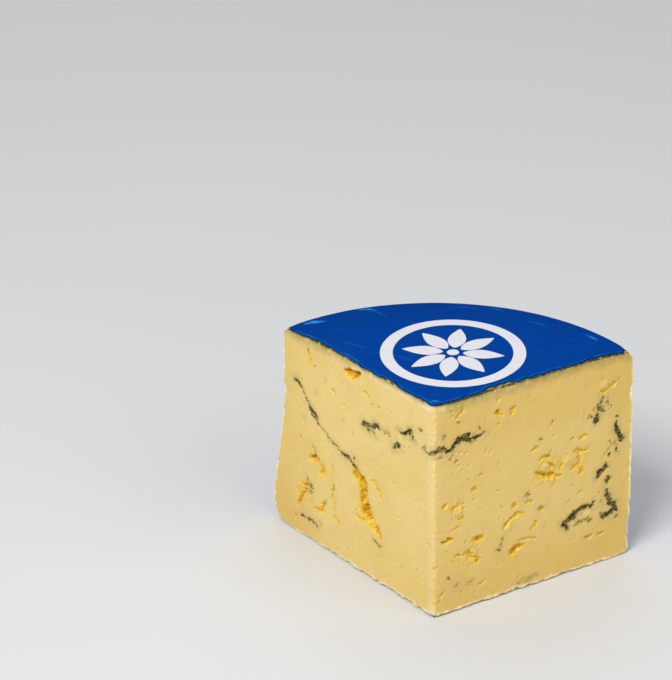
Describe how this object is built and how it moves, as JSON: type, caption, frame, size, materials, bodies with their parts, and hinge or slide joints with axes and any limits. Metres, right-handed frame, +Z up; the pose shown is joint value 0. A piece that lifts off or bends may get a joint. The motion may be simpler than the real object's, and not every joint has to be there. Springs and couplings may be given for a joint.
{
  "type": "stilton wedge",
  "caption": "Wedge of blue-veined cheese cut from a foil-wrapped wheel, standing on its base with both cut faces crumbly and pitted.",
  "frame": {"origin": "under the middle of the bounding box, on the plane that the wedge stands on", "axes": "+Z up; -Y from the wheel's rim towards the wedge's point; +X to the right when looking at the point"},
  "size_m": [0.1614, 0.1064, 0.104],
  "materials": {
    "cheese": "soft, slightly moist cut cheese",
    "foil": "satin blue lacquered foil"
  },
  "bodies": {
    "root": {"cheese_paste": "cheese", "foil_wrap": "foil"}
  },
  "joints": []
}
